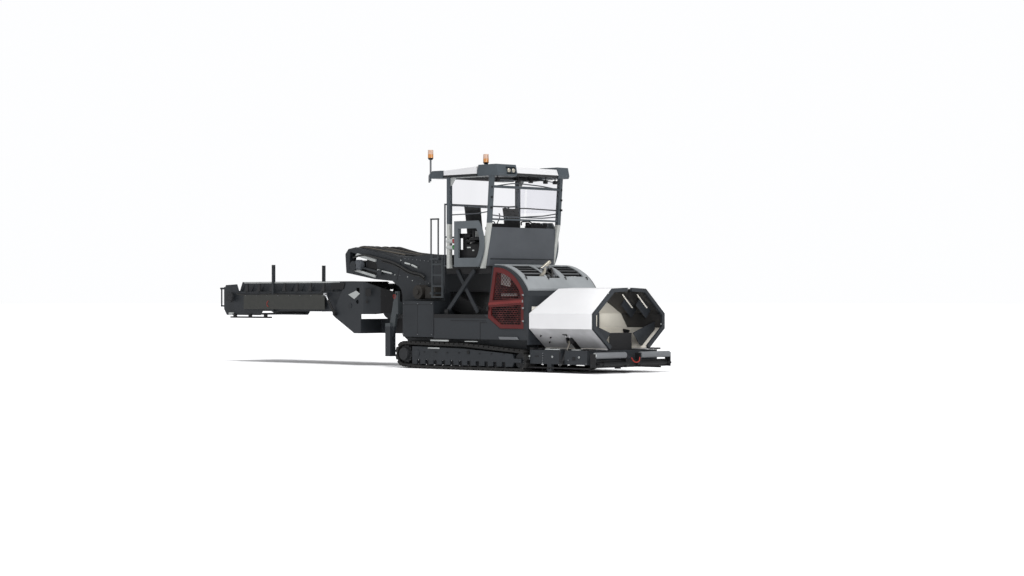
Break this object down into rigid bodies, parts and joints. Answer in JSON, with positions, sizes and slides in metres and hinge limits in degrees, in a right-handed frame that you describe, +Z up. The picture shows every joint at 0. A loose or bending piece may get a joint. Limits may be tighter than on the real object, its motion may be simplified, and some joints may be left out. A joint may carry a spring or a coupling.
{
  "type": "asphalt feeder",
  "caption": "Tracked asphalt feeder: front hopper with folding wings, roofed lift platform, climbing belt and a slewing tail conveyor.",
  "frame": {"origin": "middle of the overall box, on the ground", "axes": "+X forward to the hopper, +Y to the machine's left, +Z up"},
  "size_m": [14.4, 2.55, 5.24],
  "materials": {
    "dark_paint": "satin",
    "light_grey_paint": "satin",
    "white_paint": "satin",
    "red_paint": "satin",
    "blue_grey_paint": "satin",
    "grey_paint": "satin",
    "bare_steel": "brushed",
    "plated_rod": "polished",
    "cast_parts": "matte",
    "track_rubber": "matte",
    "black_parts": "matte",
    "liner": "matte",
    "window_glass": "clear",
    "seat_cover": "matte",
    "amber_lens": "gloss"
  },
  "bodies": {
    "chassis": {"chassis_frame": "dark_paint", "track_right": "track_rubber", "track_left": "track_rubber", "track_frames": "dark_paint", "running_gear": "cast_parts", "conveyor_neck": "dark_paint", "discharge_head": "dark_paint", "main_belt": "track_rubber", "side_boxes": "dark_paint", "rear_legs": "dark_paint", "hood_shell": "dark_paint", "hood_top": "light_grey_paint", "hood_louvres": "black_parts", "engine": "cast_parts", "exhaust": "bare_steel", "front_frame": "dark_paint", "hopper_front_wall": "dark_paint", "hopper_chute": "liner", "ladders": "dark_paint"},
    "platform": {"platform_tub": "dark_paint", "platform_posts": "blue_grey_paint", "roof": "white_paint", "roof_blocks": "blue_grey_paint", "windows": "window_glass", "seats": "seat_cover", "consoles": "black_parts", "side_pods": "dark_paint", "handrails": "dark_paint", "beacons": "amber_lens"},
    "scissor_inner_arms": {"scissor_inner": "dark_paint"},
    "scissor_outer_arms": {"scissor_outer": "dark_paint"},
    "swing_arm": {"swing_frame": "dark_paint"},
    "tail_conveyor": {"tail_frame": "dark_paint", "tail_skirts": "dark_paint", "tail_belt": "track_rubber", "tail_drums": "cast_parts"},
    "lift_barrel_pair": {"lift_barrels": "dark_paint"},
    "lift_rod_pair": {"lift_rods": "plated_rod"},
    "push_bar": {"push_beam": "dark_paint"},
    "hood_door_right": {"door_right": "red_paint"},
    "hopper_wing_right": {"wing_skin_right": "white_paint", "wing_floor_right": "bare_steel", "wing_flange_right": "dark_paint"},
    "wing_cylinder_barrel_right": {"wing_barrel_right": "dark_paint"},
    "wing_cylinder_rod_right": {"wing_rod_right": "plated_rod"},
    "push_tube_right": {"push_roller_right": "grey_paint"},
    "hood_door_left": {"door_left": "red_paint"},
    "hopper_wing_left": {"wing_skin_left": "white_paint", "wing_floor_left": "bare_steel", "wing_flange_left": "dark_paint"},
    "wing_cylinder_barrel_left": {"wing_barrel_left": "dark_paint"},
    "wing_cylinder_rod_left": {"wing_rod_left": "plated_rod"},
    "push_tube_left": {"push_roller_left": "grey_paint"}
  },
  "joints": [
    {"name": "wing_right_fold", "type": "hinge", "parent": "chassis", "child": "hopper_wing_right", "pos_m": [6, -0.66, 0.545], "axis": [1, 0, 0], "range_deg": [0, 35]},
    {"name": "wing_barrel_right_pivot", "type": "hinge", "parent": "chassis", "child": "wing_cylinder_barrel_right", "pos_m": [6.03, -1.19, 0.24], "axis": [-1, 0, 0], "range_deg": [0, 8]},
    {"name": "wing_rod_right_slide", "type": "slide", "parent": "wing_cylinder_barrel_right", "child": "wing_cylinder_rod_right", "axis": [0, -0.4735, -0.8808], "range_m": [0, 0.2]},
    {"name": "door_right_hinge", "type": "hinge", "parent": "chassis", "child": "hood_door_right", "pos_m": [4.815, -1.214, 1.45], "axis": [0, 0, 1], "range_deg": [0, 100]},
    {"name": "push_roller_right_spin", "type": "hinge", "parent": "push_bar", "child": "push_tube_right", "pos_m": [7.075, -0.75, 0.415], "axis": [0, 1, 0], "continuous": true},
    {"name": "wing_left_fold", "type": "hinge", "parent": "chassis", "child": "hopper_wing_left", "pos_m": [6, 0.66, 0.545], "axis": [-1, 0, 0], "range_deg": [0, 35]},
    {"name": "wing_barrel_left_pivot", "type": "hinge", "parent": "chassis", "child": "wing_cylinder_barrel_left", "pos_m": [6.03, 1.19, 0.24], "axis": [1, 0, 0], "range_deg": [0, 8]},
    {"name": "wing_rod_left_slide", "type": "slide", "parent": "wing_cylinder_barrel_left", "child": "wing_cylinder_rod_left", "axis": [0, 0.4735, -0.8808], "range_m": [0, 0.2]},
    {"name": "door_left_hinge", "type": "hinge", "parent": "chassis", "child": "hood_door_left", "pos_m": [4.815, 1.214, 1.45], "axis": [0, 0, -1], "range_deg": [0, 100]},
    {"name": "push_roller_left_spin", "type": "hinge", "parent": "push_bar", "child": "push_tube_left", "pos_m": [7.075, 0.75, 0.415], "axis": [0, 1, 0], "continuous": true},
    {"name": "push_bar_swing", "type": "hinge", "parent": "chassis", "child": "push_bar", "pos_m": [6.88, 0, 0.25], "axis": [0, 0, 1], "range_deg": [-5, 5]},
    {"name": "platform_lift", "type": "slide", "parent": "chassis", "child": "platform", "axis": [0, 0, -1], "range_m": [0, 0.6]},
    {"name": "scissor_inner_swing", "type": "hinge", "parent": "chassis", "child": "scissor_inner_arms", "pos_m": [3.08, 0, 1.385], "axis": [0, -1, 0], "range_deg": [0, 40]},
    {"name": "scissor_outer_swing", "type": "hinge", "parent": "chassis", "child": "scissor_outer_arms", "pos_m": [2.12, 0, 1.385], "axis": [0, 1, 0], "range_deg": [0, 33]},
    {"name": "tail_slew", "type": "hinge", "parent": "chassis", "child": "swing_arm", "pos_m": [-0.2, 0, 0.99], "axis": [0, 0, 1], "range_deg": [-55, 55]},
    {"name": "tail_raise", "type": "hinge", "parent": "swing_arm", "child": "tail_conveyor", "pos_m": [-1.65, 0, 1.5], "axis": [0, 1, 0], "range_deg": [-6, 18]},
    {"name": "lift_barrel_pivot", "type": "hinge", "parent": "swing_arm", "child": "lift_barrel_pair", "pos_m": [-2.19, 0, 1.29], "axis": [0, 1, 0], "range_deg": [-8, 22]},
    {"name": "lift_rod_slide", "type": "slide", "parent": "lift_barrel_pair", "child": "lift_rod_pair", "axis": [-0.5948, 0, 0.8039], "range_m": [-0.065, 0.185]}
  ],
  "couplings": [
    {"joint": "wing_barrel_right_pivot", "follows": "wing_right_fold", "ratio": 0.19},
    {"joint": "wing_rod_right_slide", "follows": "wing_right_fold", "m_per_rad": 0.304},
    {"joint": "wing_barrel_left_pivot", "follows": "wing_left_fold", "ratio": 0.19},
    {"joint": "wing_rod_left_slide", "follows": "wing_left_fold", "m_per_rad": 0.304},
    {"joint": "scissor_inner_swing", "follows": "platform_lift", "rad_per_m": 1.135},
    {"joint": "scissor_outer_swing", "follows": "platform_lift", "rad_per_m": 0.935},
    {"joint": "lift_barrel_pivot", "follows": "tail_raise", "ratio": 1.125},
    {"joint": "lift_rod_slide", "follows": "tail_raise", "m_per_rad": 0.57}
  ]
}
